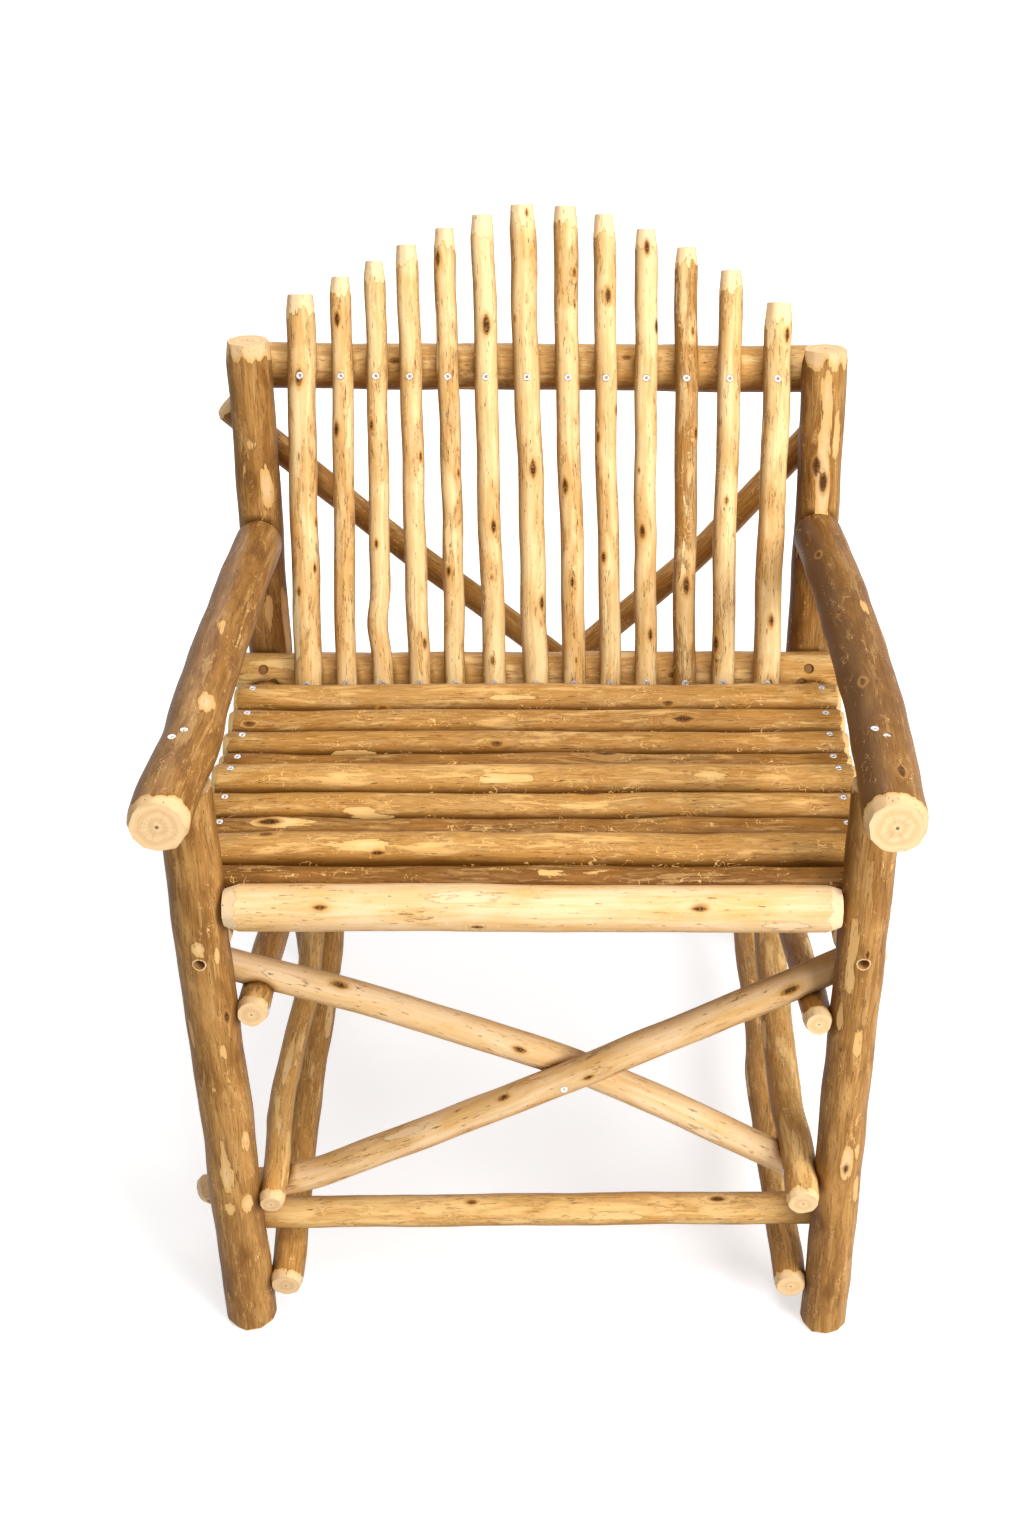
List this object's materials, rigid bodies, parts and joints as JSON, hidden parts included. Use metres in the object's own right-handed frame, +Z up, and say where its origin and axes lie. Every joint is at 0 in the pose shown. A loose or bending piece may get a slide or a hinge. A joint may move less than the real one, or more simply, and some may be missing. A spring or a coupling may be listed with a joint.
{
  "type": "twig armchair",
  "caption": "Rustic armchair of peeled poles with a slatted seat, an arched stick back, straight arms and crossed braces.",
  "frame": {"origin": "centre of the bottom of the bounding box, on the floor", "axes": "+Z up, +Y from the front of the chair to its back, +X to the right as seen by someone who faces its front"},
  "size_m": [0.6306, 0.682, 0.9302],
  "materials": {
    "weathered_pole": "peeled pole with brown inner bark left on, shaved in places, satin",
    "brown_pole": "peeled pole, golden brown, satin",
    "seat_pole": "peeled pole, golden with darker undersides, satin",
    "peeled_stick": "fully peeled stick, pale honey, satin",
    "pale_pole": "fully peeled pole, pale, satin",
    "plug_wood": "wooden plug, end grain",
    "zinc_screw": "zinc plated"
  },
  "bodies": {
    "root": {"arm_left": "weathered_pole", "arm_right": "weathered_pole", "arm_screws": "zinc_screw", "back_brace_a": "brown_pole", "back_brace_b": "brown_pole", "back_post_left": "weathered_pole", "back_post_right": "weathered_pole", "back_stick_01": "peeled_stick", "back_stick_02": "peeled_stick", "back_stick_03": "peeled_stick", "back_stick_04": "peeled_stick", "back_stick_05": "peeled_stick", "back_stick_06": "peeled_stick", "back_stick_07": "peeled_stick", "back_stick_08": "peeled_stick", "back_stick_09": "peeled_stick", "back_stick_10": "peeled_stick", "back_stick_11": "peeled_stick", "back_stick_12": "peeled_stick", "back_stick_13": "peeled_stick", "back_top_rail": "brown_pole", "brace_screws": "zinc_screw", "frame_screws": "zinc_screw", "front_brace_falling": "pale_pole", "front_brace_rising": "pale_pole", "front_post_left": "weathered_pole", "front_post_right": "weathered_pole", "front_stretcher": "brown_pole", "rear_leg_left": "weathered_pole", "rear_leg_right": "weathered_pole", "seat_bearer_left": "brown_pole", "seat_bearer_right": "brown_pole", "seat_front_rail": "pale_pole", "seat_rail_plugs": "plug_wood", "seat_rear_rail": "brown_pole", "seat_slat_1": "seat_pole", "seat_slat_2": "seat_pole", "seat_slat_3": "seat_pole", "seat_slat_4": "seat_pole", "seat_slat_5": "seat_pole", "seat_slat_6": "seat_pole", "seat_slat_7": "seat_pole", "seat_slat_8": "seat_pole", "seat_slat_9": "seat_pole", "seat_slat_screws": "zinc_screw", "side_lower_rail_left": "brown_pole", "side_lower_rail_right": "brown_pole", "side_middle_rail_left": "brown_pole", "side_middle_rail_right": "brown_pole", "side_rail_screws": "zinc_screw", "side_upper_rail_left": "brown_pole", "side_upper_rail_right": "brown_pole", "stick_lower_screws": "zinc_screw", "stick_upper_screws": "zinc_screw", "toe_screws": "zinc_screw"}
  },
  "joints": []
}
